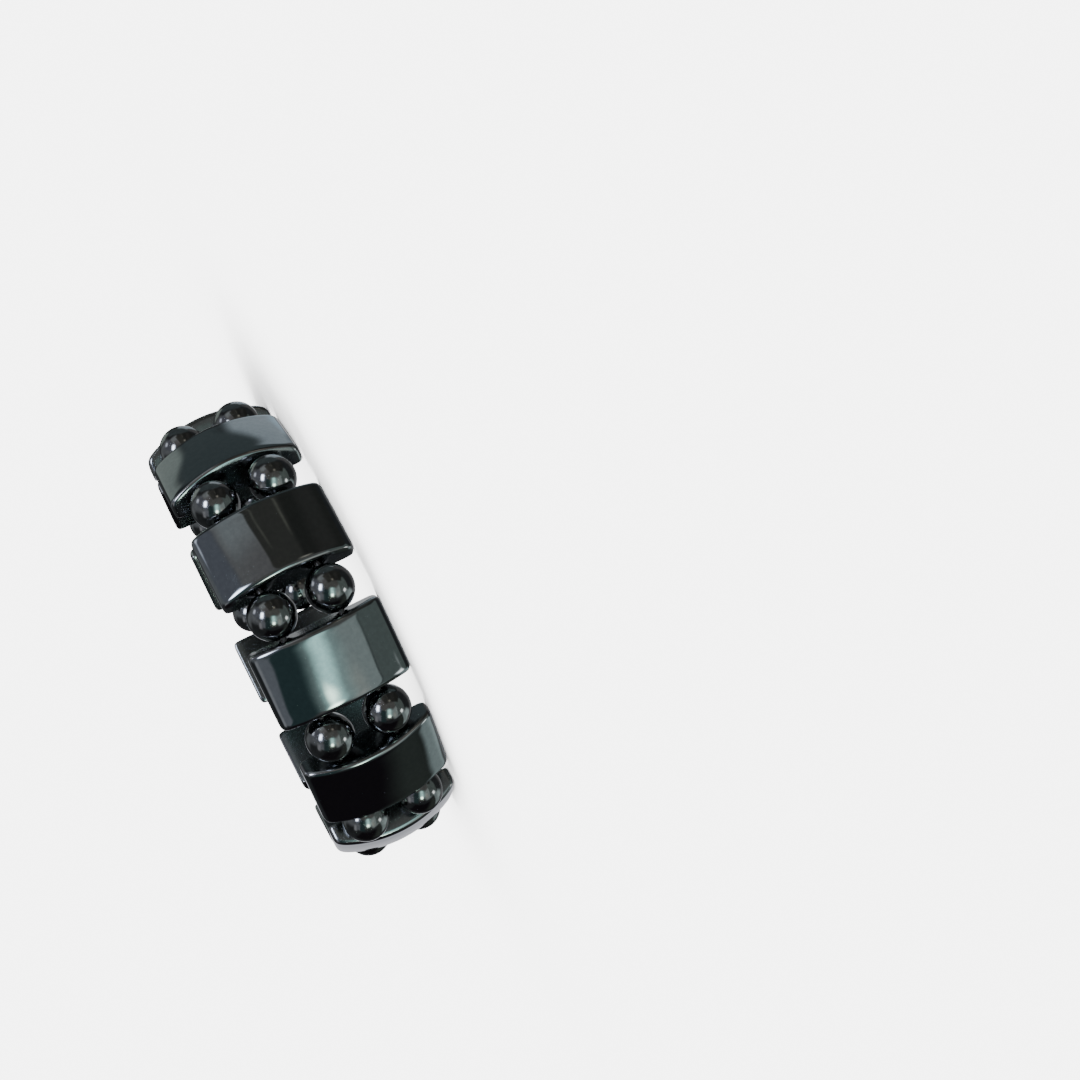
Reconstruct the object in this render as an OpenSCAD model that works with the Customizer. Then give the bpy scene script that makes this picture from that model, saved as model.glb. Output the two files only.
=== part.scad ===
// Magnetic bracelet: crowned stone tiles and pairs of round beads on two elastic cords.
// Millimetres. The ring lies on its side on z = 0, with the wrist's axis along +Z
// and the middle of tile 1 towards -Y. The origin is below the middle of the ring.

/* [Ring] */
// Number of tiles, with a pair of beads after each
tile_count = 11; // [9:1:15]

/* [Tile] */
// Size of a tile along the cords
tile_w = 10; // [7:0.5:14]
// Size of a tile across the bracelet, from end to end
tile_l = 17; // [15:0.5:24]
// Thickness of a tile at its ends
tile_end_t = 2.6; // [2.2:0.1:3.4]
// Thickness of a tile at the middle of its crown
tile_mid_t = 4.9; // [4.4:0.1:6]
// Height of the cord holes above the tile's flat back
hole_up = 2.45; // [2:0.05:3]
// Radius of the rounded long edges of the crown
edge_r = 0.45; // [0.2:0.05:0.8]
// Radius where the crown runs down into the ends
end_r = 1; // [0.4:0.1:1.4]
// Radius of the four corners, seen from outside
corner_r = 0.7; // [0.3:0.1:1.2]

/* [Beads] */
// Diameter of a bead
bead_d = 6; // [5:0.25:7]
// Clearance between a bead and the tile beside it
bead_fit = 0.1; // [0.05:0.05:0.4]

/* [Cords] */
// Distance between the two cords
row_gap = 7.5; // [7:0.25:9]
// Diameter of the holes through tiles and beads
hole_d = 1.2; // [1:0.1:1.8]
// Diameter of an elastic cord
cord_d = 0.8; // [0.5:0.1:0.9]

/* [Hidden] */
$fn = 96;
cord_sides = 8;
row_names = ["lower", "upper"];

// The ring turns by this much from a tile to the next one
step = 360 / tile_count;
half_step = step / 2;

// A bead sits halfway between two tiles and clears both by bead_fit
bead_ring_r = (tile_w / 2 + bead_fit + bead_d / 2) / sin(half_step);

// A cord bends midway between the side of a tile and the mouth of the bead's hole.
// bend_y is measured in the tile's own frame, along its side
bead_mouth = sqrt(pow(bead_d / 2, 2) - pow(hole_d / 2, 2));
mouth_y = bead_ring_r * sin(half_step) - bead_mouth * cos(half_step);
bend_y = (tile_w / 2 + mouth_y) / 2;
bend_run = (bead_ring_r * sin(half_step) - bend_y) / cos(half_step);
tile_ring_r = bead_ring_r * cos(half_step) + bend_run * sin(half_step);

// Distances of a tile's back, crown and ends from the middle of the ring
back_r = tile_ring_r - hole_up;
crown_r = back_r + tile_mid_t;
shoulder_r = back_r + tile_end_t;

// The crown is one arc over the tile's length
crown_rise = tile_mid_t - tile_end_t;
arc_r = (pow(tile_l / 2, 2) + pow(crown_rise, 2)) / (2 * crown_rise);
arc_x = crown_r - arc_r;

// Heights of the two cords
row_z = [tile_l / 2 - row_gap / 2, tile_l / 2 + row_gap / 2];

// Blanks and drills reach this far past what they cut
past = 2;

function two_digits(i) = str(i < 10 ? "0" : "", i);
function tile_name(i) = str("tile_", two_digits(i));
function bead_name(row, i) = str("bead_", row_names[row], "_", two_digits(i));
function cord_name(row) = str("cord_", row_names[row]);

// Angle of tile i round the ring. Tile 1 faces -Y
function tile_angle(i) = -90 + step * (i - 1);

// A rectangle from its lower left corner, with four rounded corners
module rounded_rectangle(size, r) {
    translate([r, 0]) square([size.x - 2 * r, size.y]);
    translate([0, r]) square([size.x, size.y - 2 * r]);
    for (x = [r, size.x - r], y = [r, size.y - r]) translate([x, y]) circle(r);
}

// A wheel turning about the tile's width, whose rim is the crown with its two long edges rounded
module crown_wheel() {
    translate([arc_x, 0, tile_l / 2])
        rotate([90, 0, 0])
            rotate_extrude()
                intersection() {
                    translate([-arc_r, -tile_w / 2]) rounded_rectangle([2 * arc_r, tile_w], edge_r);
                    translate([0, -tile_w / 2]) square([arc_r, tile_w]);
                }
}

// The tile's outline seen from outside, drawn out from the back past the crown
module outline_block() {
    translate([back_r, 0, 0])
        rotate([90, 0, 90])
            linear_extrude(tile_mid_t + past)
                translate([-tile_w / 2, 0]) rounded_rectangle([tile_w, tile_l], corner_r);
}

// What the rounding between the crown and the end at z = 0 takes away
module end_rounding() {
    centre_x = arc_x + sqrt(pow(arc_r - end_r, 2) - pow(tile_l / 2 - end_r, 2));
    slope = asin((tile_l / 2 - end_r) / (arc_r - end_r));
    reach = 2 * end_r;
    translate([centre_x, 0, end_r])
        rotate([90, 0, 0])
            linear_extrude(tile_w + past, center = true)
                difference() {
                    polygon([
                        [0, 0],
                        [0, -reach],
                        [reach, -reach],
                        [reach * cos(slope), -reach * sin(slope)]
                    ]);
                    circle(end_r);
                }
}

module tile_drills() {
    for (z = row_z) {
        translate([tile_ring_r, 0, z])
            rotate([90, 0, 0]) cylinder(d = hole_d, h = tile_w + past, center = true);
    }
}

module tile(i) {
    color("dimgray")
        rotate([0, 0, tile_angle(i)])
            difference() {
                intersection() {
                    crown_wheel();
                    outline_block();
                }
                end_rounding();
                translate([0, 0, tile_l]) mirror([0, 0, 1]) end_rounding();
                tile_drills();
            }
}

// Bead i follows tile i
module bead(row, i) {
    color("darkslategray")
        rotate([0, 0, tile_angle(i) + half_step])
            translate([bead_ring_r, 0, row_z[row]])
                difference() {
                    sphere(d = bead_d);
                    rotate([90, 0, 0]) cylinder(d = hole_d, h = bead_d + past, center = true);
                }
}

// Section of a cord where it bends beside tile i: side is -1 or +1 along the ring.
// The section lies in the plane that halves the bend
function bend_section(row, i, side) =
    let (
        a = tile_angle(i),
        facing = a + side * half_step / 2,
        x = tile_ring_r * cos(a) - side * bend_y * sin(a),
        y = tile_ring_r * sin(a) + side * bend_y * cos(a),
        across = cord_d / 2 / cos(half_step / 2)
    )
    [for (k = [0:cord_sides - 1])
        let (t = 360 * (k + 0.5) / cord_sides)
        [
            x + across * cos(t) * cos(facing),
            y + across * cos(t) * sin(facing),
            row_z[row] + cord_d / 2 * sin(t)
        ]
    ];

module cord(row) {
    sections = [for (i = [1:tile_count], side = [-1, 1]) bend_section(row, i, side)];
    points = [for (section = sections) each section];
    count = len(sections);
    faces = [
        for (s = [0:count - 1], k = [0:cord_sides - 1])
            let (here = s * cord_sides, next = ((s + 1) % count) * cord_sides, k2 = (k + 1) % cord_sides)
            [here + k, next + k, next + k2, here + k2]
    ];
    color("gray") polyhedron(points = points, faces = faces);
}

for (i = [1:tile_count]) tile(i);
for (row = [0:1], i = [1:tile_count]) bead(row, i);
for (row = [0:1]) cord(row);
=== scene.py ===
"""Looks of the magnetic bracelet: polished hematite tiles and beads strung on two elastic cords.

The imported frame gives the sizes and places. Each kind of piece is modelled once as a pattern, in
metres, and copied round the ring. Tile 1 faces -Y, and the ring lies on its side on z = 0.
"""

from __future__ import annotations

import logging
import math
from collections.abc import Callable, Iterator
from contextlib import contextmanager
from dataclasses import dataclass
from enum import Enum

import bmesh
import bpy
from mathutils import Matrix, Vector

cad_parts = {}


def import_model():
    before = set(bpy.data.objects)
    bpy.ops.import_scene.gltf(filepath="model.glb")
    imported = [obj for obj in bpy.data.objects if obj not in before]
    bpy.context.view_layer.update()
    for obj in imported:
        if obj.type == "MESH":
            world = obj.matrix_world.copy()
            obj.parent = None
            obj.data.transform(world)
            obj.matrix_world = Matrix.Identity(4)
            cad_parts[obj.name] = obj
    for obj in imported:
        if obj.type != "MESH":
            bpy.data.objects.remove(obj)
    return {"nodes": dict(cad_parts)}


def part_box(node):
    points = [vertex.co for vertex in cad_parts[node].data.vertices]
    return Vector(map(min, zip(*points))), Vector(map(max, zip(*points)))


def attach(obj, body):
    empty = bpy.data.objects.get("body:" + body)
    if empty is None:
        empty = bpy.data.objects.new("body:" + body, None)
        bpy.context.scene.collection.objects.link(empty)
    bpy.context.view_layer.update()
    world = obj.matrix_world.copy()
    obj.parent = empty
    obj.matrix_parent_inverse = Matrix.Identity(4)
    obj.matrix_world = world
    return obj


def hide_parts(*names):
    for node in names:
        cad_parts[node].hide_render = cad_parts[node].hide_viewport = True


MM = 0.001
BODY = "root"

# Linear red, green and blue
Colour = tuple[float, float, float]

log = logging.getLogger("bracelet")


class Row(Enum):
    """The two rows of beads, each on its own cord."""

    LOWER = "lower"
    UPPER = "upper"


@dataclass(frozen=True)
class RingSizes:
    """Sizes and places of the ring, in metres.

    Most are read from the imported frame. The last three are the solids' own, which no box shows.

    Attributes:
        tile_count: Number of tiles, and of pairs of beads.
        tile_wide: Size of a tile along the cords.
        tile_long: Size of a tile across the bracelet.
        back_radius: Distance of the tiles' flat backs from the axis of the ring.
        crown_radius: Distance of the middle of their crowns from the axis.
        bead_radius: Radius of a bead.
        bead_ring_radius: Distance of the beads' middles from the axis.
        row_heights: Height of each cord above the floor.
        hole_radius: Radius of the holes through tiles and beads.
        cord_radius: Radius of an elastic cord.
        end_thickness: Thickness of a tile at its ends.
    """

    tile_count: int
    tile_wide: float
    tile_long: float
    back_radius: float
    crown_radius: float
    bead_radius: float
    bead_ring_radius: float
    row_heights: dict[Row, float]
    hole_radius: float = 0.6 * MM
    cord_radius: float = 0.4 * MM
    end_thickness: float = 2.6 * MM

    @classmethod
    def from_frame(cls, nodes: dict[str, bpy.types.Object]) -> RingSizes:
        """Read the sizes from the boxes of tile 1 and of the beads straight across from it.

        Args:
            nodes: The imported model's objects by node name.

        Returns:
            The sizes of the ring.
        """
        count = sum(name.startswith("tile_") for name in nodes)
        low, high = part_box("tile_01")
        beads = {row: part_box(f"bead_{row.value}_{(count + 1) // 2:02d}") for row in Row}
        bead_low, bead_high = beads[Row.UPPER]
        bead_radius = (bead_high.z - bead_low.z) / 2
        return cls(
            tile_count=count,
            tile_wide=high.x - low.x,
            tile_long=high.z - low.z,
            back_radius=-high.y,
            crown_radius=-low.y,
            bead_radius=bead_radius,
            bead_ring_radius=bead_high.y - bead_radius,
            row_heights={row: (box[0].z + box[1].z) / 2 for row, box in beads.items()},
        )

    @property
    def half_step(self) -> float:
        """Angle from a tile to the beads after it, in radians."""
        return math.pi / self.tile_count

    @property
    def bend_side(self) -> float:
        """How far a cord runs straight to each side of a tile's middle.

        Returns:
            The length, which ends midway between the tile's side and the mouth of the bead's hole.
        """
        bead_mouth = math.sqrt(self.bead_radius**2 - self.hole_radius**2)
        bead_side = self.bead_ring_radius * math.sin(self.half_step)
        return (self.tile_wide / 2 + bead_side - bead_mouth * math.cos(self.half_step)) / 2

    @property
    def hole_ring_radius(self) -> float:
        """Distance of a tile's cord holes from the axis of the ring.

        Returns:
            The distance at which a cord comes straight out of one bead, bends and enters the tile.
        """
        bead_side = self.bead_ring_radius * math.sin(self.half_step)
        run = (bead_side - self.bend_side) / math.cos(self.half_step)
        return self.bead_ring_radius * math.cos(self.half_step) + run * math.sin(self.half_step)

    @property
    def crown_rise(self) -> float:
        """How much further out the middle of the crown stands than its ends."""
        return self.crown_radius - self.back_radius - self.end_thickness

    @property
    def crown_arc_radius(self) -> float:
        """Radius of the crown's arc over the tile's length."""
        half = self.tile_long / 2
        return (half**2 + self.crown_rise**2) / (2 * self.crown_rise)


class Bench:
    """The modelling bench: picks objects, and in edit mode selects their vertices by place.

    Two places that are nearer to each other than TOUCH count as the same.
    """

    TOUCH = 0.002 * MM

    @staticmethod
    def clear() -> None:
        """Deselect every object."""
        bpy.ops.object.select_all(action="DESELECT")

    @staticmethod
    def pick(obj: bpy.types.Object) -> None:
        """Select one object alone and make it the active one.

        Args:
            obj: The object to pick.
        """
        Bench.clear()
        obj.select_set(True)
        bpy.context.view_layer.objects.active = obj

    @staticmethod
    @contextmanager
    def editing(obj: bpy.types.Object) -> Iterator[None]:
        """Work on an object in edit mode, by vertex, for the length of a with block.

        Args:
            obj: The object to edit.

        Yields:
            Nothing.
        """
        Bench.pick(obj)
        bpy.ops.object.mode_set(mode="EDIT")
        bpy.ops.mesh.select_mode(type="VERT")
        yield
        bpy.ops.object.mode_set(mode="OBJECT")

    @staticmethod
    def select(obj: bpy.types.Object, test: Callable[[Vector], bool]) -> None:
        """Select the vertices that pass a test, and no others.

        Args:
            obj: The object in edit mode.
            test: Says of a vertex's place whether it is selected.
        """
        bpy.ops.mesh.select_all(action="DESELECT")
        mesh = bmesh.from_edit_mesh(obj.data)
        for vertex in mesh.verts:
            if test(vertex.co):
                vertex.select = True
        mesh.select_flush(True)
        bmesh.update_edit_mesh(obj.data)

    @staticmethod
    def slice(normal: Vector, places: list[float]) -> None:
        """Cut edge loops right round the mesh in edit mode.

        Args:
            normal: Direction across the loops.
            places: Distance of each loop from the origin along that direction.
        """
        for place in places:
            bpy.ops.mesh.select_all(action="SELECT")
            bpy.ops.mesh.bisect(plane_co=normal * place, plane_no=normal)

    @staticmethod
    def apply(obj: bpy.types.Object, kind: str, **settings: object) -> None:
        """Add a modifier, set it and apply it.

        Args:
            obj: The object to change.
            kind: Blender's name for the kind of modifier.
            settings: Its settings by name.
        """
        Bench.pick(obj)
        modifier = obj.modifiers.new(kind.lower(), kind)
        for name, value in settings.items():
            setattr(modifier, name, value)
        bpy.ops.object.modifier_apply(modifier=modifier.name)


@dataclass
class StonePiece:
    """A kind of stone that is modelled once and laid at its places round the ring.

    Attributes:
        sizes: The sizes of the ring.
        material: The stone's finish.
        slot: Name of the stone's material slot; not used.
    """

    sizes: RingSizes
    material: bpy.types.Material
    slot: str

    def lay(self, pattern: bpy.types.Object, node: str, place: Matrix) -> bpy.types.Object:
        """Copy the pattern, with its own mesh, to a CAD node's place, to stand for that node.

        Args:
            pattern: The modelled pattern.
            node: The CAD node that the copy replaces.
            place: Moves the pattern's mesh to the node's place.

        Returns:
            The copy.
        """
        mesh = pattern.data.copy()
        mesh.transform(place)
        mesh.materials.clear()
        mesh.materials.append(self.material)
        piece = bpy.data.objects.new(f"{node}_polished", mesh)
        bpy.context.scene.collection.objects.link(piece)
        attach(piece, BODY)
        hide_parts(node)
        return piece


@dataclass
class Tile(StonePiece):
    """A crowned bar of stone with softly rounded edges and two holes for the cords.

    A coarse cage is made first, and subdivision smooths it into the tile.

    Attributes:
        side_soft: Distance from a side to the cage's loop that holds its long edge.
        end_soft: Distance from an end to the cage's loop that holds its edge.
        back_soft: Distance from the back to the cage's loop that holds the back edges.
        pillow: How much lower the crown is at its long edges than along its middle.
        crown_spans: Number of the cage's spans along the crown.
        smoothing: Number of subdivisions.
        mouth_flare: Depth of the flared mouth of a hole.
        hole_sides: Number of sides of a hole.
        crease: Angle in degrees from which an edge is shaded as sharp.
    """

    side_soft: float = 1.2 * MM
    end_soft: float = 1.5 * MM
    back_soft: float = 0.5 * MM
    pillow: float = 0.14 * MM
    crown_spans: int = 6
    smoothing: int = 3
    mouth_flare: float = 0.15 * MM
    hole_sides: int = 40
    crease: float = 35.0

    @property
    def cage_arc_radius(self) -> float:
        """Radius of the arc on which the crown's cage stands.

        Smoothing brings a point of the cage to two thirds of its own place and a third of the
        mean of its two neighbours', so the cage stands a little further out.

        Returns:
            The radius that brings the smoothed surface to the crown's own arc.
        """
        arc = self.sizes.crown_arc_radius
        span = 2 * math.asin((self.sizes.tile_long / 2 - self.end_soft) / arc) / self.crown_spans
        return arc * 3 / (2 + math.cos(span))

    @property
    def row_turns(self) -> list[float]:
        """Angles along the crown's arc of the cage's rows, the outermost of which hold the ends."""
        reach = math.asin((self.sizes.tile_long / 2 - self.end_soft) / self.cage_arc_radius)
        return [reach * (2 * i / self.crown_spans - 1) for i in range(self.crown_spans + 1)]

    def model(self) -> bpy.types.Object:
        """Model the tile at tile 1's place, facing -Y.

        Returns:
            The pattern.
        """
        tile = self._bar()
        self._raise_crown(tile)
        Bench.apply(tile, "SUBSURF", levels=self.smoothing, render_levels=self.smoothing)
        for height in self.sizes.row_heights.values():
            self._drill(tile, height)
        Bench.pick(tile)
        bpy.ops.object.shade_smooth_by_angle(angle=math.radians(self.crease))
        self._mark_polish(tile)
        return tile

    def _bar(self) -> bpy.types.Object:
        """Make a bar as thick as the tile's ends and cut the loops that hold its edges and rows.

        Returns:
            The bar.
        """
        s = self.sizes
        Bench.clear()
        bpy.ops.mesh.primitive_cube_add(
            size=1.0,
            location=(0.0, -s.back_radius - s.end_thickness / 2, s.tile_long / 2),
            scale=(s.tile_wide, s.end_thickness, s.tile_long),
        )
        bar = bpy.context.object
        bpy.ops.object.transform_apply(location=True, rotation=True, scale=True)
        side = s.tile_wide / 2 - self.side_soft
        shoulder = s.back_radius + s.end_thickness - self.side_soft
        rows = [s.tile_long / 2 + self.cage_arc_radius * math.sin(turn) for turn in self.row_turns]
        with Bench.editing(bar):
            Bench.slice(Vector((1, 0, 0)), [-side, -side / 2, 0.0, side / 2, side])
            Bench.slice(Vector((0, -1, 0)), [s.back_radius + self.back_soft, shoulder])
            Bench.slice(Vector((0, 0, 1)), rows)
        return bar

    def _raise_crown(self, bar: bpy.types.Object) -> None:
        """Move the cage's rows out to the crown's arc, and its outer columns in to a slight pillow.

        Args:
            bar: The bar with its loops cut.
        """
        s = self.sizes
        outer = s.back_radius + s.end_thickness - self.side_soft - Bench.TOUCH
        side = s.tile_wide / 2 - self.side_soft
        # How far each pair of columns is lowered, by its place between the middle and the edge
        drops = {0.5: self.pillow / 4, 1.0: self.pillow}
        with Bench.editing(bar):
            for turn in self.row_turns:
                row = s.tile_long / 2 + self.cage_arc_radius * math.sin(turn)
                rise = s.crown_rise - s.crown_arc_radius + self.cage_arc_radius * math.cos(turn)
                Bench.select(bar, lambda co: -co.y > outer and abs(co.z - row) < Bench.TOUCH)
                bpy.ops.transform.translate(value=(0.0, -rise, 0.0))
            for part, drop in drops.items():
                near = side * part - Bench.TOUCH
                far = side * part + Bench.TOUCH if part < 1.0 else s.tile_wide
                Bench.select(bar, lambda co: -co.y > outer and near < abs(co.x) < far)
                bpy.ops.transform.translate(value=(0.0, drop, 0.0))

    def _drill(self, tile: bpy.types.Object, height: float) -> None:
        """Bore a cord's hole from side to side, with a flared mouth at each end.

        Args:
            tile: The tile to bore.
            height: Height of the hole.
        """
        s = self.sizes
        middle = (0.0, -s.hole_ring_radius, height)
        inside = s.tile_wide / 2 - self.mouth_flare
        flare = 1 + 2 * self.mouth_flare / s.hole_radius
        Bench.clear()
        bpy.ops.mesh.primitive_cylinder_add(
            vertices=self.hole_sides,
            radius=s.hole_radius,
            depth=s.tile_wide + 2 * self.mouth_flare,
            location=middle,
            rotation=(0.0, math.pi / 2, 0.0),
        )
        bit = bpy.context.object
        bpy.ops.object.transform_apply(location=True, rotation=True, scale=True)
        with Bench.editing(bit):
            Bench.slice(Vector((1, 0, 0)), [-inside, inside])
            Bench.select(bit, lambda co: abs(co.x) > s.tile_wide / 2)
            bpy.ops.transform.resize(value=(1.0, flare, flare), center_override=middle)
        Bench.apply(tile, "BOOLEAN", operation="DIFFERENCE", solver="EXACT", object=bit)
        bpy.data.objects.remove(bit)

    def _mark_polish(self, tile: bpy.types.Object) -> None:
        """Store on each vertex how far it belongs to an edge, which shows wear and a painted sheen,
        and to the satin sides and back.

        Both follow from the way the surface faces: an edge faces between the crown, the sides, the
        back and the ends, and a side or the back faces straight that way.

        Args:
            tile: The smoothed and bored tile.
        """
        s = self.sizes
        axis = Vector((0.0, s.crown_arc_radius - s.crown_radius, s.tile_long / 2))
        wear_and_sheen = []
        satin = []
        for vertex in tile.data.vertices:
            n = vertex.normal
            out = vertex.co - axis
            out.x = 0.0
            # How far the vertex is an edge, which gets wear and a painted sheen
            wear_and_sheen.append(1.0 - max(abs(n.x), n.dot(out.normalized()), abs(n.y), abs(n.z)))
            satin.append(max(abs(n.x), n.y))
        for name, values in (("edge", wear_and_sheen), ("flank", satin)):
            tile.data.attributes.new(name, "FLOAT", "POINT").data.foreach_set("value", values)

    def build(self) -> list[bpy.types.Object]:
        """Model the pattern and lay a copy at each tile's place.

        Returns:
            The tiles.
        """
        pattern = self.model()
        pieces = []
        for index in range(self.sizes.tile_count):
            turn = Matrix.Rotation(2 * self.sizes.half_step * index, 4, "Z")
            pieces.append(self.lay(pattern, f"tile_{index + 1:02d}", turn))
        bpy.data.objects.remove(pattern)
        return pieces


@dataclass
class Bead(StonePiece):
    """A round bead with a drilled hole whose rims are eased.

    Attributes:
        profile_points: Number of points of the whole circle that the profile is cut from.
        rim: Length over which a rim of the hole is eased.
        rim_steps: Number of steps in that easing.
        turns: Number of steps in which the profile is spun round.
        crease: Angle in degrees from which an edge is shaded as sharp.
    """

    profile_points: int = 96
    rim: float = 0.12 * MM
    rim_steps: int = 4
    turns: int = 72
    crease: float = 60.0

    def model(self) -> bpy.types.Object:
        """Turn the bead about its hole, which runs along X through the origin.

        Returns:
            The pattern.
        """
        s = self.sizes
        Bench.clear()
        bpy.ops.mesh.primitive_circle_add(vertices=self.profile_points, radius=s.bead_radius)
        bead = bpy.context.object
        with Bench.editing(bead):
            bpy.ops.mesh.select_all(action="SELECT")
            bpy.ops.mesh.bisect(
                plane_co=(0.0, s.hole_radius, 0.0), plane_no=(0.0, 1.0, 0.0), clear_inner=True
            )
            Bench.select(bead, lambda co: co.y < s.hole_radius + Bench.TOUCH)
            bpy.ops.mesh.edge_face_add()
            bpy.ops.mesh.bevel(offset=self.rim, segments=self.rim_steps, affect="VERTICES")
            bpy.ops.mesh.select_all(action="SELECT")
            bpy.ops.mesh.spin(
                steps=self.turns, angle=2 * math.pi, center=(0.0, 0.0, 0.0), axis=(1.0, 0.0, 0.0)
            )
            bpy.ops.mesh.select_all(action="SELECT")
            bpy.ops.mesh.remove_doubles(threshold=Bench.TOUCH)
            bpy.ops.mesh.normals_make_consistent(inside=False)
        Bench.pick(bead)
        bpy.ops.object.shade_smooth_by_angle(angle=math.radians(self.crease))
        return bead

    def build(self) -> list[bpy.types.Object]:
        """Model the pattern and lay a copy at each bead's place.

        Returns:
            The beads.
        """
        s = self.sizes
        pattern = self.model()
        pieces = []
        for row, height in s.row_heights.items():
            for index in range(s.tile_count):
                turn = Matrix.Rotation(s.half_step * (2 * index + 1), 4, "Z")
                place = turn @ Matrix.Translation((0.0, -s.bead_ring_radius, height))
                pieces.append(self.lay(pattern, f"bead_{row.value}_{index + 1:02d}", place))
        bpy.data.objects.remove(pattern)
        return pieces


@dataclass
class ElasticCord:
    """A closed elastic thread that runs straight through each tile and bends before each bead.

    Attributes:
        sizes: The sizes of the ring.
        material: The thread's finish.
        row: The row of beads that it carries.
        slot: Name of the thread's material slot; not used.
        ease: Length to each side of a bend over which it is eased.
        ease_steps: Number of steps in that easing.
        roundness: Resolution of the tube's round section.
    """

    sizes: RingSizes
    material: bpy.types.Material
    row: Row
    slot: str = "elastic"
    ease: float = 0.5 * MM
    ease_steps: int = 4
    roundness: int = 4

    def _route(self) -> list[Vector]:
        """Points along the thread, with each bend eased over a short length.

        Returns:
            The points, once round the ring.
        """
        s = self.sizes
        onward = s.half_step
        points = []
        for index in range(s.tile_count):
            for side in (-1, 1):
                bend = Vector((side * s.bend_side, -s.hole_ring_radius, s.row_heights[self.row]))
                along_tile = Vector((1.0, 0.0, 0.0))
                along_bead = Vector((math.cos(onward), side * math.sin(onward), 0.0))
                before, after = (along_bead, along_tile) if side < 0 else (along_tile, along_bead)
                start, end = bend - before * self.ease, bend + after * self.ease
                turn = Matrix.Rotation(2 * s.half_step * index, 4, "Z")
                for step in range(self.ease_steps + 1):
                    t = step / self.ease_steps
                    points.append(turn @ start.lerp(bend, t).lerp(bend.lerp(end, t), t))
        return points

    def build(self) -> list[bpy.types.Object]:
        """Lay the thread along its route as a round tube and make it a mesh.

        Returns:
            The one thread.
        """
        node = f"cord_{self.row.value}"
        curve = bpy.data.curves.new(node, "CURVE")
        curve.dimensions = "3D"
        curve.bevel_depth = self.sizes.cord_radius
        curve.bevel_resolution = self.roundness
        route = self._route()
        spline = curve.splines.new("POLY")
        spline.points.add(len(route) - 1)
        for point, place in zip(spline.points, route):
            point.co = (*place, 1.0)
        spline.use_cyclic_u = True
        thread = bpy.data.objects.new(f"{node}_thread", curve)
        bpy.context.scene.collection.objects.link(thread)
        Bench.pick(thread)
        bpy.ops.object.convert(target="MESH")
        thread = bpy.context.object
        bpy.ops.object.shade_smooth()
        thread.data.materials.clear()
        thread.data.materials.append(self.material)
        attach(thread, BODY)
        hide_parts(node)
        return [thread]


class Shader:
    """A node tree that is built by adding nodes and joining their sockets."""

    # Numbers of a Mix node's sockets for colours, because other sockets have the same names
    MIX_FACTOR = 0
    MIX_FIRST = 6
    MIX_SECOND = 7
    MIX_RESULT = 2

    def __init__(self, tree: bpy.types.NodeTree) -> None:
        """Take a tree and empty it."""
        self.tree = tree
        tree.nodes.clear()

    def add(self, kind: str, inputs: dict[str | int, object], **settings: object) -> bpy.types.Node:
        """Add a node.

        Args:
            kind: Blender's name for the node.
            inputs: For each input by name or number, a value or another node's output.
            settings: The node's own settings by name.

        Returns:
            The node.
        """
        node = self.tree.nodes.new(kind)
        for name, value in settings.items():
            setattr(node, name, value)
        for name, value in inputs.items():
            if isinstance(value, bpy.types.NodeSocket):
                self.tree.links.new(value, node.inputs[name])
            else:
                node.inputs[name].default_value = value
        return node

    def maths(self, operation: str, *values: object) -> bpy.types.NodeSocket:
        """Add a Math node and return its result."""
        return self.add("ShaderNodeMath", dict(enumerate(values)), operation=operation).outputs[0]

    def dot(self, first: object, second: object) -> bpy.types.NodeSocket:
        """Add a dot product and return it."""
        node = self.add("ShaderNodeVectorMath", {0: first, 1: second}, operation="DOT_PRODUCT")
        return node.outputs["Value"]

    def smooth(
        self, value: object, low: float, high: float, start: float = 0.0, end: float = 1.0
    ) -> bpy.types.NodeSocket:
        """Map a value smoothly from one range to another.

        Args:
            value: The value to map.
            low: Where the result starts.
            high: Where the result ends.
            start: The result at low.
            end: The result at high.

        Returns:
            The mapped value.
        """
        inputs = {"Value": value, "From Min": low, "From Max": high, "To Min": start, "To Max": end}
        node = self.add("ShaderNodeMapRange", inputs, interpolation_type="SMOOTHSTEP")
        return node.outputs["Result"]

    def noise(self, place: object, scale: float, detail: float) -> bpy.types.NodeSocket:
        """Add a noise pattern and return its value."""
        inputs = {"Vector": place, "Scale": scale, "Detail": detail}
        return self.add("ShaderNodeTexNoise", inputs).outputs["Fac"]

    def blend(self, part: object, first: object, second: object) -> bpy.types.NodeSocket:
        """Mix two colours and return the result."""
        inputs = {self.MIX_FACTOR: part, self.MIX_FIRST: first, self.MIX_SECOND: second}
        return self.add("ShaderNodeMix", inputs, data_type="RGBA").outputs[self.MIX_RESULT]

    def surface(self, kind: str, inputs: dict[str, object]) -> None:
        """Add the node that shades the surface and join it to the material's output."""
        shaded = self.add(kind, inputs)
        self.add("ShaderNodeOutputMaterial", {"Surface": shaded.outputs["BSDF"]})


def new_material(name: str) -> tuple[bpy.types.Material, Shader]:
    """Make a material whose node tree is empty.

    Args:
        name: The material's name.

    Returns:
        The material, and the shader that builds its node tree.
    """
    material = bpy.data.materials.new(name)
    material.use_nodes = True
    return material, Shader(material.node_tree)


def opaque(colour: Colour) -> tuple[float, float, float, float]:
    """A colour as a node's socket takes it."""
    return (*colour, 1.0)


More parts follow.
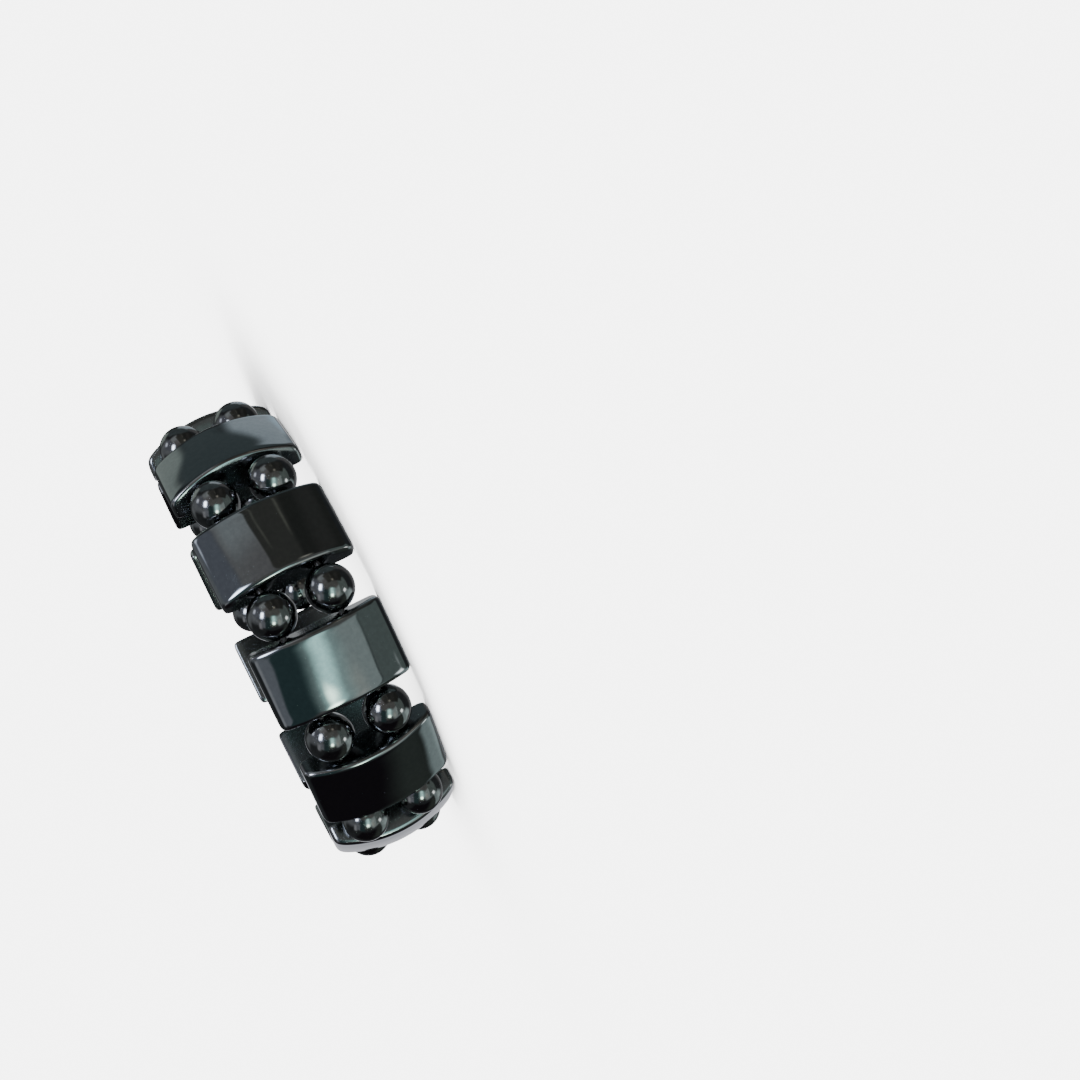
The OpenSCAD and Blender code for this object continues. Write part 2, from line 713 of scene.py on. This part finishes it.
@dataclass(frozen=True)
class HematiteFinish:
    """Polished hematite: a dark mirror with a faint grain, a little haze, hairlines, and edges with
    wear and a painted sheen.

    A span is the pair of values of a pattern or attribute between which its effect grows.

    Attributes:
        name: The material's name.
        dark: The darker of the stone's two tones.
        light: The lighter one.
        gloss: Roughness where the polish is clearest.
        haze: Roughness that the haziest places add.
        hairlines: Roughness that a polishing hairline adds.
        wave: Depth of the slow swell in the polish.
        wave_scale: Scale of the swell.
        grain_scale: Scale of the grain.
        grain_span: Span of the grain, from the darker tone to the lighter.
        cloud_scale: Scale of the hazy places.
        cloud_span: Span of the haze.
        strokes: Turn in radians and scale of the hairlines in each direction of polishing.
        stroke_span: Span of a hairline.
        wear_and_sheen_span: Span of the edge attribute, from polished to full wear and painted
            sheen.
        wear_and_sheen_gain: Colour of an edge as a multiple of the lighter tone, paler and warmer:
            partly wear, partly a painted sheen that warms the edges' highlights.
        wear_and_sheen_share: How far an edge takes on that colour.
        worn_rough: Roughness that the wear on an edge adds.
        satin_span: Span of the flank attribute, from polished to satin.
        satin_rough: Roughness that the satin sides and back add.
        relief_depth: Depth of the grain and the hairlines.
        relief_strength: How strongly that relief shows.
        grain_relief: Height of the grain, as a share of a hairline's depth.
    """

    name: str
    dark: Colour
    light: Colour
    gloss: float
    haze: float
    hairlines: float
    wave: float
    wave_scale: float
    grain_scale: float = 1900.0
    grain_span: tuple[float, float] = (0.3, 0.72)
    cloud_scale: float = 130.0
    cloud_span: tuple[float, float] = (0.35, 0.7)
    strokes: tuple[tuple[float, tuple[float, float, float]], ...] = (
        (0.35, (5200.0, 5200.0, 90.0)),
        (1.25, (4300.0, 150.0, 4300.0)),
    )
    stroke_span: tuple[float, float] = (0.66, 0.78)
    wear_and_sheen_span: tuple[float, float] = (0.05, 0.25)
    # Edges paler and warmer than the lighter tone: partly wear, partly a painted sheen on their
    # highlights
    wear_and_sheen_gain: Colour = (1.7, 1.46, 1.4)
    wear_and_sheen_share: float = 0.5
    worn_rough: float = 0.05
    satin_span: tuple[float, float] = (0.75, 1.0)
    satin_rough: float = 0.12
    relief_depth: float = 0.0006 * MM
    relief_strength: float = 0.6
    grain_relief: float = 0.3

    def material(self) -> bpy.types.Material:
        """Make the material.

        Returns:
            The material.
        """
        material, shader = new_material(self.name)
        place = shader.add("ShaderNodeTexCoord", {}).outputs["Object"]
        wear_and_sheen = self._marked(shader, "edge", self.wear_and_sheen_span)
        satin = self._marked(shader, "flank", self.satin_span)
        grain = shader.noise(place, self.grain_scale, 3.0)
        cloud = shader.noise(place, self.cloud_scale, 3.0)
        lines = self._hairlines(shader, place)
        tone = shader.smooth(grain, *self.grain_span)
        stone = shader.blend(tone, opaque(self.dark), opaque(self.light))
        # Edges take a paler, warmer tone: partly wear, partly a painted sheen that warms their
        # highlights
        pale = tuple(gain * channel for gain, channel in zip(self.wear_and_sheen_gain, self.light))
        colour = shader.blend(shader.maths("MULTIPLY", wear_and_sheen, self.wear_and_sheen_share), stone, opaque(pale))
        rough = shader.smooth(cloud, *self.cloud_span, self.gloss, self.gloss + self.haze)
        added = ((lines, self.hairlines), (wear_and_sheen, self.worn_rough), (satin, self.satin_rough))
        for value, share in added:
            rough = shader.maths("ADD", rough, shader.maths("MULTIPLY", value, share))
        inputs = {
            "Base Color": colour,
            "Metallic": 1.0,
            "Roughness": rough,
            "Normal": self._relief(shader, place, grain, lines),
        }
        shader.surface("ShaderNodeBsdfPrincipled", inputs)
        return material

    def _marked(
        self, shader: Shader, attribute: str, span: tuple[float, float]
    ) -> bpy.types.NodeSocket:
        """How far a place on the stone is of the kind that one of the mesh's attributes marks."""
        value = shader.add("ShaderNodeAttribute", {}, attribute_name=attribute).outputs["Fac"]
        return shader.smooth(value, *span)

    def _hairlines(self, shader: Shader, place: bpy.types.NodeSocket) -> bpy.types.NodeSocket:
        """Draw fine polishing lines in each direction of polishing.

        Args:
            shader: The material's shader.
            place: The place on the stone.

        Returns:
            How much of a line shows there, from 0 to 1.
        """
        found = []
        for turn, scale in self.strokes:
            inputs = {"Vector": place, "Rotation": (0.0, turn, turn), "Scale": scale}
            mapping = shader.add("ShaderNodeMapping", inputs)
            pattern = shader.noise(mapping.outputs["Vector"], 1.0, 2.0)
            found.append(shader.smooth(pattern, *self.stroke_span))
        return shader.maths("MAXIMUM", *found)

    def _relief(
        self,
        shader: Shader,
        place: bpy.types.NodeSocket,
        grain: bpy.types.NodeSocket,
        lines: bpy.types.NodeSocket,
    ) -> bpy.types.NodeSocket:
        """Tilt the surface by the slow swell, and on top of it by the grain and the hairlines.

        Args:
            shader: The material's shader.
            place: The place on the stone.
            grain: The grain there.
            lines: The hairlines there.

        Returns:
            The surface's direction.
        """
        inputs = {
            "Strength": 1.0,
            "Distance": self.wave,
            "Height": shader.noise(place, self.wave_scale, 1.0),
        }
        swell = shader.add("ShaderNodeBump", inputs)
        raised = shader.maths("MULTIPLY", grain, self.grain_relief)
        inputs = {
            "Strength": self.relief_strength,
            "Distance": self.relief_depth,
            "Height": shader.maths("SUBTRACT", raised, lines),
            "Normal": swell.outputs["Normal"],
        }
        return shader.add("ShaderNodeBump", inputs).outputs["Normal"]


@dataclass(frozen=True)
class ElasticFinish:
    """Stretch thread: dark and slightly glossy, with fine fibres.

    Attributes:
        name: The material's name.
        colour: The thread's darker tone.
        light_gain: Its lighter tone, as a multiple of the darker.
        fibre_scale: Scale of the fibres.
        fibre_depth: Depth of the fibres.
        fibre_strength: How strongly their relief shows.
        fibre_span: Values of the fibres' pattern between which the roughness grows.
        rough: The lowest and the highest roughness.
    """

    name: str
    colour: Colour
    light_gain: float = 1.9
    fibre_scale: float = 6000.0
    fibre_depth: float = 0.01 * MM
    fibre_strength: float = 0.5
    fibre_span: tuple[float, float] = (0.3, 0.7)
    rough: tuple[float, float] = (0.3, 0.5)

    def material(self) -> bpy.types.Material:
        """Make the material.

        Returns:
            The material.
        """
        material, shader = new_material(self.name)
        place = shader.add("ShaderNodeTexCoord", {}).outputs["Object"]
        fibre = shader.noise(place, self.fibre_scale, 3.0)
        light = tuple(self.light_gain * channel for channel in self.colour)
        relief = {
            "Strength": self.fibre_strength,
            "Distance": self.fibre_depth,
            "Height": fibre,
        }
        inputs = {
            "Base Color": shader.blend(fibre, opaque(self.colour), opaque(light)),
            "Roughness": shader.smooth(fibre, *self.fibre_span, *self.rough),
            "Normal": shader.add("ShaderNodeBump", relief).outputs["Normal"],
        }
        shader.surface("ShaderNodeBsdfPrincipled", inputs)
        return material


@dataclass(frozen=True)
class Panel:
    """A soft rectangle of light or shade far away in the studio, seen in the stone's polish.

    Attributes:
        azimuth: Direction of its middle, in degrees from -Y and growing towards +X.
        elevation: Height of its middle, in degrees above the floor.
        half_wide: Half its width, in degrees.
        half_high: Half its height, in degrees.
        soft: How many degrees its sides, and its upper and lower edges, fade to each side.
        colour: Its light.
        roll: Its turn about its middle, in degrees.
    """

    azimuth: float
    elevation: float
    half_wide: float
    half_high: float
    soft: tuple[float, float]
    colour: Colour
    roll: float = 0.0

    def mask(self, shader: Shader, direction: bpy.types.NodeSocket) -> bpy.types.NodeSocket:
        """How much of the panel shows in a direction, from 0 to 1.

        Args:
            shader: The world's shader.
            direction: The direction looked in.

        Returns:
            The mask.
        """
        turn, lift, roll = (math.radians(x) for x in (self.azimuth, self.elevation, self.roll))
        sin_turn, cos_turn = math.sin(turn), math.cos(turn)
        sin_lift, cos_lift = math.sin(lift), math.cos(lift)
        ahead = Vector((sin_turn * cos_lift, -cos_turn * cos_lift, sin_lift))
        side = Vector((cos_turn, sin_turn, 0.0))
        up = Vector((-sin_turn * sin_lift, cos_turn * sin_lift, cos_lift))
        across = side * math.cos(roll) + up * math.sin(roll)
        along = up * math.cos(roll) - side * math.sin(roll)
        depth = shader.dot(direction, tuple(ahead))
        mask = shader.maths("GREATER_THAN", depth, 0.0)
        sizes = (self.half_wide, self.half_high)
        for axis, half, soft in zip((across, along), sizes, self.soft):
            offset = shader.maths("DIVIDE", shader.dot(direction, tuple(axis)), depth)
            inner = math.tan(math.radians(max(half - soft, 0.0)))
            outer = math.tan(math.radians(half + soft))
            near = shader.smooth(shader.maths("ABSOLUTE", offset), inner, outer, 1.0, 0.0)
            mask = shader.maths("MULTIPLY", mask, near)
        return mask


@dataclass(frozen=True)
class Studio:
    """The pale floor, the light, and the surroundings that show in the polish.

    Attributes:
        floor_reach: Radius of the floor, in metres.
        floor_sides: Number of its sides.
        floor_albedo: Share of the light that it throws back.
        paper: Brightness of the lit floor and of the plain background.
        key: Share of the floor's light that the key light gives.
        key_angle: Width of the key light in degrees, which softens the shadows.
        key_turn: Turns of the key light about X and Y from straight down, in degrees.
        room: Light of the surroundings where there is no panel.
    """

    floor_reach: float = 4.0
    floor_sides: int = 96
    floor_albedo: float = 0.8
    paper: float = 6.0
    key: float = 0.42
    key_angle: float = 42.0
    key_turn: tuple[float, float] = (-25.0, -30.0)
    room: Colour = (0.06, 0.065, 0.068)

    def build(self, panels: list[Panel]) -> None:
        """Lay the floor, hang the key light and light the room.

        Args:
            panels: The panels round the ring. A later one covers those before it.
        """
        self._floor()
        self._key_light()
        self._surroundings(panels)

    def _floor(self) -> None:
        """Lay a wide round floor, which the polish doesn't reflect."""
        Bench.clear()
        bpy.ops.mesh.primitive_circle_add(
            vertices=self.floor_sides,
            radius=self.floor_reach,
            fill_type="NGON",
            location=(0.0, 0.0, 0.0),
        )
        floor = bpy.context.object
        floor.name = "studio_floor"
        floor.visible_glossy = False
        material, shader = new_material("pale_paper")
        shader.surface("ShaderNodeBsdfDiffuse", {"Color": opaque((self.floor_albedo,) * 3)})
        floor.data.materials.append(material)

    def _key_light(self) -> None:
        """Hang a broad soft light high up on the side of -X and +Y, which the polish doesn't show.

        It is as strong as its share of the floor's brightness asks, at the slant at which it falls.
        """
        light = bpy.data.lights.new("key_light", "SUN")
        light.angle = math.radians(self.key_angle)
        tilt = [math.radians(angle) for angle in self.key_turn]
        steepness = math.cos(tilt[0]) * math.cos(tilt[1])
        light.energy = self.key * self.paper * math.pi / (self.floor_albedo * steepness)
        lamp = bpy.data.objects.new("key_light", light)
        lamp.rotation_euler = (*tilt, 0.0)
        lamp.visible_glossy = False
        bpy.context.scene.collection.objects.link(lamp)

    def _surroundings(self, panels: list[Panel]) -> None:
        """Hang the panels for the polish, light the floor evenly and back the view plainly.

        The world isn't sampled as a light, so that each ray finds the surroundings of its own kind.

        Args:
            panels: The panels, as build takes them.
        """
        world = bpy.data.worlds.new("studio")
        world.use_nodes = True
        world.cycles.sampling_method = "NONE"
        shader = Shader(world.node_tree)
        direction = shader.add("ShaderNodeTexCoord", {}).outputs["Generated"]
        colour = opaque(self.room)
        for panel in panels:
            colour = shader.blend(panel.mask(shader, direction), colour, opaque(panel.colour))
        rays = shader.add("ShaderNodeLightPath", {})
        fill = self.paper * (1 - self.key) / self.floor_albedo
        for kind, strength in (("Is Diffuse Ray", fill), ("Is Camera Ray", self.paper)):
            colour = shader.blend(rays.outputs[kind], colour, opaque((strength,) * 3))
        background = shader.add("ShaderNodeBackground", {"Color": colour, "Strength": 1.0})
        shader.add("ShaderNodeOutputWorld", {"Surface": background.outputs["Background"]})
        bpy.context.scene.world = world


@dataclass(frozen=True)
class Viewpoint:
    """The camera.

    Attributes:
        place: Its place, in millimetres.
        facing: The direction in which it looks.
        up: The direction that is up in its picture.
        lens: Its focal length, in millimetres.
        sensor: Width of its sensor, in millimetres.
        nearest: The nearest that it sees, in metres.
    """

    place: tuple[float, float, float]
    facing: tuple[float, float, float]
    up: tuple[float, float, float]
    lens: float
    sensor: float = 36.0
    nearest: float = 0.01

    def build(self) -> None:
        """Set up the camera and make it the scene's."""
        forward = Vector(self.facing).normalized()
        right = forward.cross(Vector(self.up)).normalized()
        turn = Matrix((right, right.cross(forward), -forward)).transposed()
        data = bpy.data.cameras.new("camera")
        data.lens = self.lens
        data.sensor_width = self.sensor
        data.clip_start = self.nearest
        camera = bpy.data.objects.new("camera", data)
        camera.matrix_world = Matrix.Translation(Vector(self.place) * MM) @ turn.to_4x4()
        bpy.context.scene.collection.objects.link(camera)
        bpy.context.scene.camera = camera


TILE_FINISH = HematiteFinish(
    name="polished_hematite_tile",
    dark=(0.2, 0.215, 0.225),
    light=(0.225, 0.24, 0.25),
    gloss=0.035,
    haze=0.04,
    hairlines=0.05,
    wave=0.012 * MM,
    wave_scale=110.0,
)
BEAD_FINISH = HematiteFinish(
    name="polished_hematite_bead",
    dark=(0.189, 0.192, 0.196),
    light=(0.246, 0.25, 0.252),
    gloss=0.085,
    haze=0.06,
    hairlines=0.08,
    wave=0.014 * MM,
    wave_scale=480.0,
)
ELASTIC_FINISH = ElasticFinish(name="dark_elastic_thread", colour=(0.006, 0.006, 0.0066))

VIEWPOINT = Viewpoint(
    place=(43.03, -225.77, 20.25),
    facing=(-0.1981, 0.9599, -0.1983),
    up=(0.8967, 0.0958, -0.4322),
    lens=56.67,
)

PANELS = [
    # Behind: dim walls low down and high up, with paler windows between them
    Panel(176, -47, 50, 14, (14, 8), (0.2, 0.2, 0.2)),
    Panel(138, 56, 32, 12, (12, 8), (0.3, 0.32, 0.33)),
    Panel(-156, -36, 20, 9, (8, 7), (0.36, 0.37, 0.38)),
    Panel(-155, -2, 14, 15, (5, 6), (0.75, 0.76, 0.82)),
    Panel(143, 24, 14, 13, (4, 3), (0.5, 0.57, 0.53)),
    Panel(143, -21, 16, 11.5, (3, 3), (0.68, 0.77, 0.83)),
    Panel(153, -23, 6, 7, (4, 4), (0.76, 0.95, 1.1)),
    Panel(173, -14, 8, 16, (3, 5), (0.8, 0.82, 0.84)),
    Panel(75, 64, 34, 24, (10, 10), (0.32, 0.34, 0.36)),
    # Far right, seen in tile 3: a dark corner between two pale walls
    Panel(110, -9, 20, 27, (3.5, 3.5), (0.13, 0.16, 0.165), -26.6),
    Panel(119, 6, 14, 14, (2.5, 2.5), (0.13, 0.16, 0.165), 31.3),
    # In front: grey, with a bluish haze above on the right
    Panel(15, 0, 52, 60, (10, 10), (0.24, 0.24, 0.225)),
    Panel(26, 42, 14, 14, (7, 7), (0.36, 0.38, 0.48)),
    # In front, seen in tile 1: a grey strip, a dark wall, a window and a grey wall with a seam
    Panel(-16, 33, 27, 14, (3, 5), (0.066, 0.115, 0.118), -24),
    Panel(-19, 56.5, 14, 12, (4, 1.5), (0.36, 0.38, 0.42), -18),
    Panel(-32, 67, 13, 6, (6, 4), (0.62, 0.63, 0.66)),
    Panel(-24, -30, 21, 24.5, (5, 8), (0.62, 0.72, 0.69), 9),
    Panel(-28, -15, 10, 5, (8, 7), (0.9, 0.95, 0.86)),
    Panel(-11, 1.2, 18, 11.5, (5, 10.5), (0.8, 1.12, 1.06), -20),
    Panel(-11, 2.8, 18, 6, (5, 5.5), (1.85, 3.1, 2.85), -20),
    Panel(-24.5, 7.4, 5, 4.5, (4.5, 3.5), (14.6, 18.6, 14.8), -20),
    Panel(-16, -56.8, 30, 20, (3, 1), (0.25, 0.3, 0.28), -17),
    Panel(-16, -36.9, 26, 0.6, (2, 0.5), (0.15, 0.18, 0.17), -17),
    # To the right, seen in tile 2: a grey wall with a sharp edge, and shade with two seams
    Panel(62, 18, 21, 15, (3, 3), (0.32, 0.31, 0.31)),
    Panel(73, 15, 12, 14, (8, 6), (0.54, 0.58, 0.59)),
    Panel(66, 50, 24, 18, (4, 2.5), (0.27, 0.285, 0.33)),
    Panel(60, -20, 24, 25.2, (4, 0.8), (0.108, 0.108, 0.096), 12),
    Panel(62, -42, 24, 21, (4, 2.5), (0.06, 0.062, 0.056)),
    Panel(64, -41, 20, 7, (5, 5), (0.085, 0.085, 0.078)),
    Panel(64, 1.0, 9, 0.8, (4, 0.6), (0.2, 0.2, 0.17), 12),
    Panel(66, -18.5, 7, 0.9, (4, 0.7), (0.24, 0.24, 0.2), 8),
    # To the left, seen in tile 11: black, green shade and a pale floor line
    Panel(-90, 6, 30, 40, (4, 4), (0.022, 0.018, 0.022)),
    Panel(-88, -20, 28, 12, (4, 9), (0.085, 0.1, 0.088), -30),
    Panel(-88, -43, 30, 9, (4, 2.5), (0.57, 0.68, 0.66), -30),
    Panel(-102, -51, 16, 9, (4, 6), (0.84, 1.0, 0.98), -30),
    # Small lights, seen in the beads
    Panel(36.5, 40.5, 11, 6, (5, 4), (15.5, 17.0, 20.0), -42),
    Panel(99, 51, 6, 6, (4, 4), (2.0, 2.1, 2.4)),
    Panel(-43, -50, 5.5, 5, (3.5, 3), (5.2, 5.4, 5.3)),
    Panel(42, -22, 4, 4, (4, 4), (0.8, 0.76, 0.64)),
]


def main() -> None:
    """Build the camera, cords, stones and studio, and log each piece's number of faces."""
    logging.basicConfig(level=logging.INFO, format="%(name)s: %(message)s")
    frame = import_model()
    Bench.clear()
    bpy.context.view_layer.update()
    sizes = RingSizes.from_frame(frame["nodes"])
    VIEWPOINT.build()
    elastic = ELASTIC_FINISH.material()
    kinds = [
        *(ElasticCord(sizes, elastic, row) for row in Row),
        Tile(sizes, TILE_FINISH.material(), "tile_stone"),
        Bead(sizes, BEAD_FINISH.material(), "bead_stone"),
    ]
    for kind in kinds:
        for piece in kind.build():
            log.info("%s: %d faces", piece.name, len(piece.data.polygons))
    Studio().build(PANELS)


if __name__ == "__main__":
    main()
